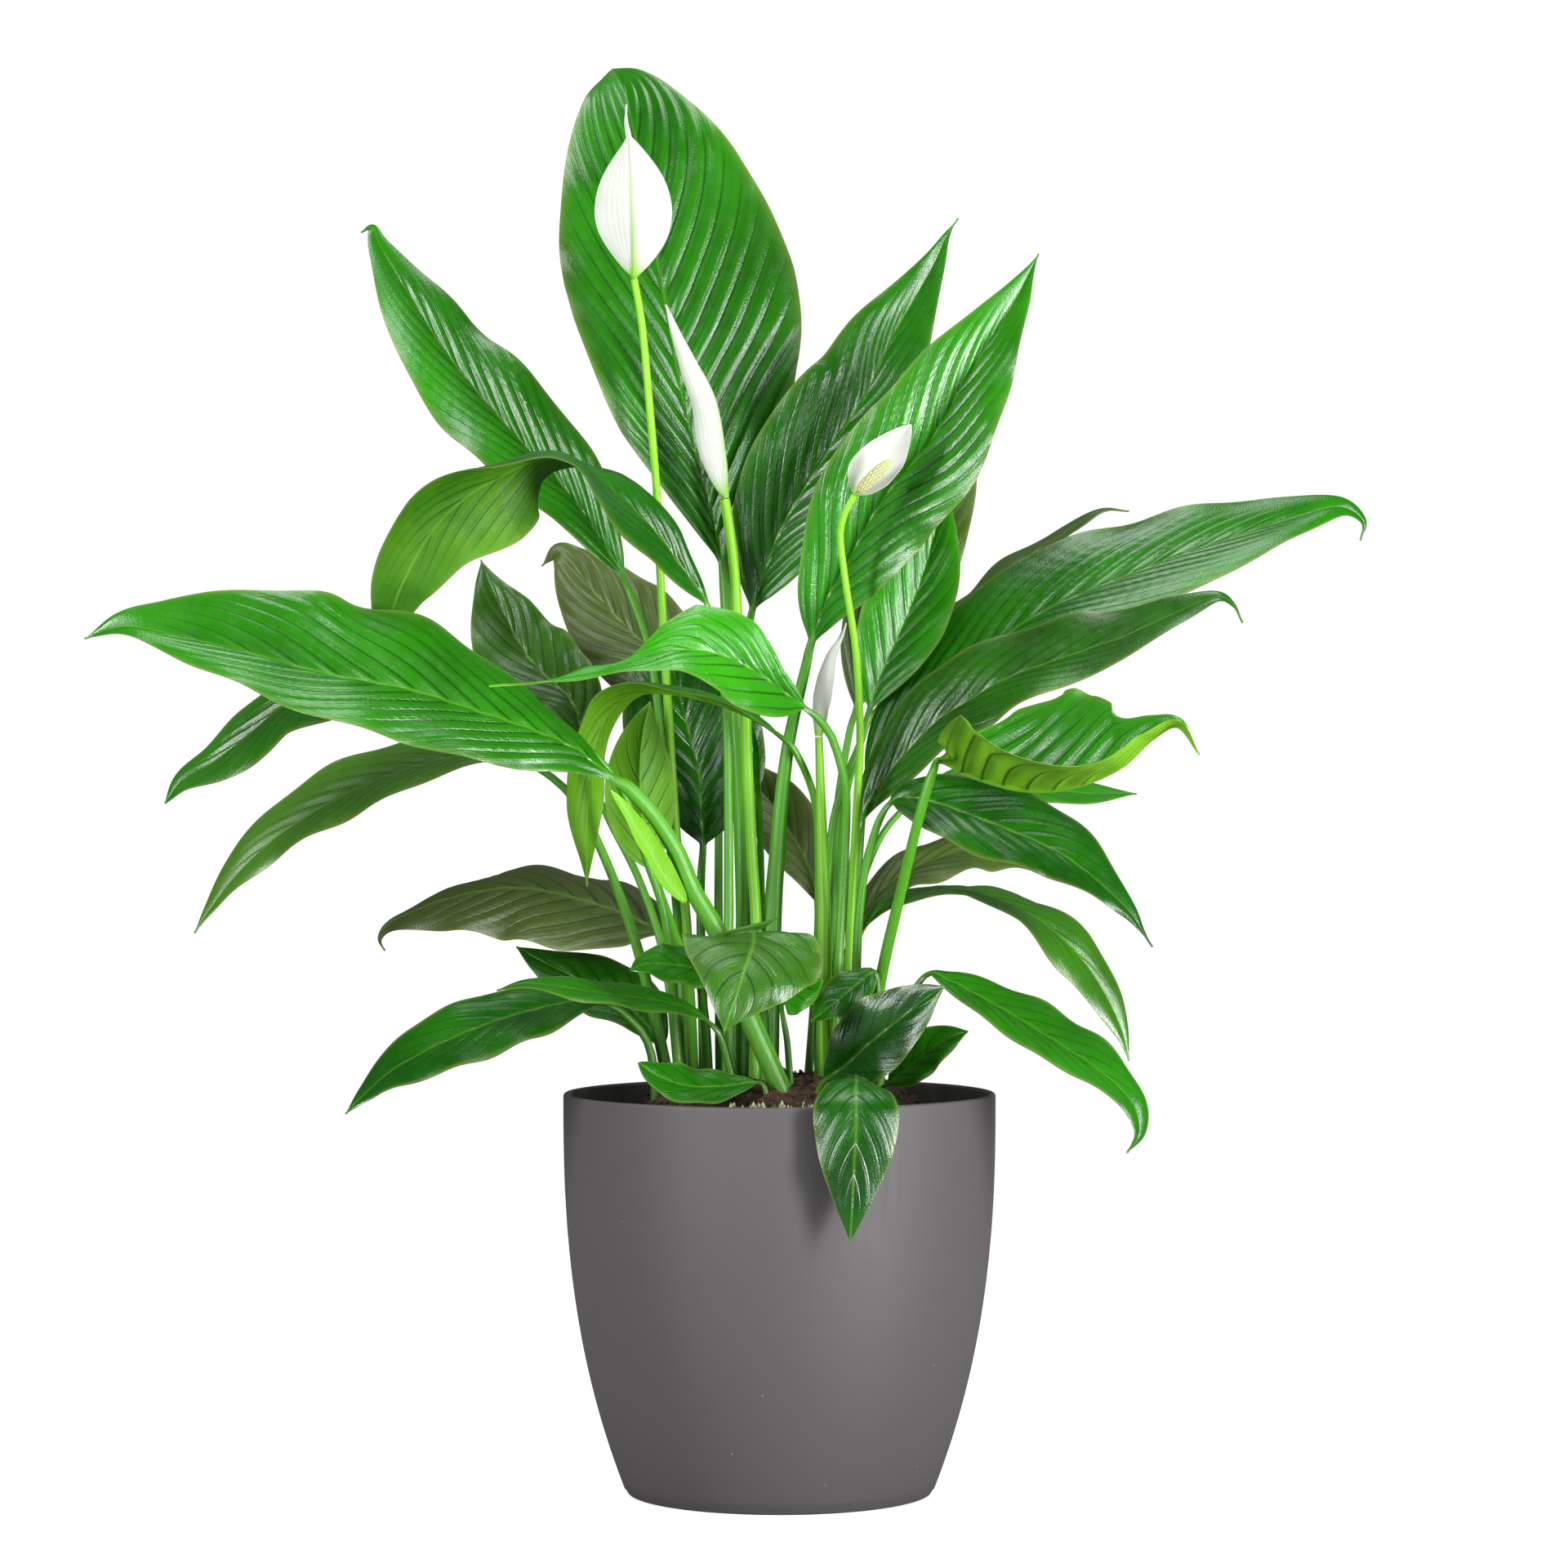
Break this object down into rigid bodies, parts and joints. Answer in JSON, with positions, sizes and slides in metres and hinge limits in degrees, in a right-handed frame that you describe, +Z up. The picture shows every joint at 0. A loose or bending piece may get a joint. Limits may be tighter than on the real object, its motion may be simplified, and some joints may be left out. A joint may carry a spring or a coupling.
{
  "type": "potted peace lily",
  "caption": "Potted peace lily: glossy pointed leaves on long stalks and white spathes with cream spikes, rising from soil in a tapering matt pot.",
  "frame": {"origin": "middle of the pot's flat base, at the surface that it stands on", "axes": "+Z up along the pot's axis; -Y towards the viewer of the picture; +X to the viewer's right"},
  "size_m": [0.6399, 0.3488, 0.7407],
  "materials": {
    "pot": "matt, moulded",
    "soil": "crumbly peat",
    "leaf": "glossy, waxy",
    "stalk": "smooth",
    "spathe": "satin",
    "spadix": "knobbly"
  },
  "bodies": {
    "root": {"pot": "pot", "soil": "soil", "leaf_01_top": "leaf", "leaf_02_upper_left": "leaf", "leaf_03_arching": "leaf", "leaf_04_back_left": "leaf", "leaf_05_back_brown": "leaf", "leaf_06_long_left": "leaf", "leaf_07_far_left": "leaf", "leaf_08_lower_left": "leaf", "leaf_09_brown_left": "leaf", "leaf_10_dark_left": "leaf", "leaf_11_slender": "leaf", "leaf_12_low_left": "leaf", "leaf_13_rim_left": "leaf", "leaf_14_centre": "leaf", "leaf_15_bright_centre": "leaf", "leaf_16_hanging": "leaf", "leaf_17_under": "leaf", "leaf_18_dark_centre": "leaf", "leaf_19_upper_right": "leaf", "leaf_20_right_front": "leaf", "leaf_21_glossy_right": "leaf", "leaf_22_back_right": "leaf", "leaf_23_long_right": "leaf", "leaf_24_narrow_right": "leaf", "leaf_25_right_middle": "leaf", "leaf_26_light_folded": "leaf", "leaf_27_right_low": "leaf", "leaf_28_far_right": "leaf", "leaf_29_brown_right": "leaf", "leaf_30_twisted_right": "leaf", "leaf_31_low_right": "leaf", "leaf_32_glossy_front": "leaf", "leaf_33_behind_glossy": "leaf", "leaf_34_over_rim": "leaf", "leaf_35_small_dark": "leaf", "leaf_36_bright_small": "leaf", "leaf_37_small_left": "leaf", "leaf_38_brown_centre": "leaf", "leaf_39_spear": "leaf", "bloom_1_stalk": "stalk", "bloom_1_spathe": "spathe", "bloom_1_spadix": "spadix", "bloom_2_stalk": "stalk", "bloom_2_spathe": "spathe", "bloom_2_spadix": "spadix", "bloom_3_stalk": "stalk", "bloom_3_spathe": "spathe", "bloom_3_spadix": "spadix", "bloom_4_stalk": "stalk", "bloom_4_bud": "spathe"}
  },
  "joints": []
}
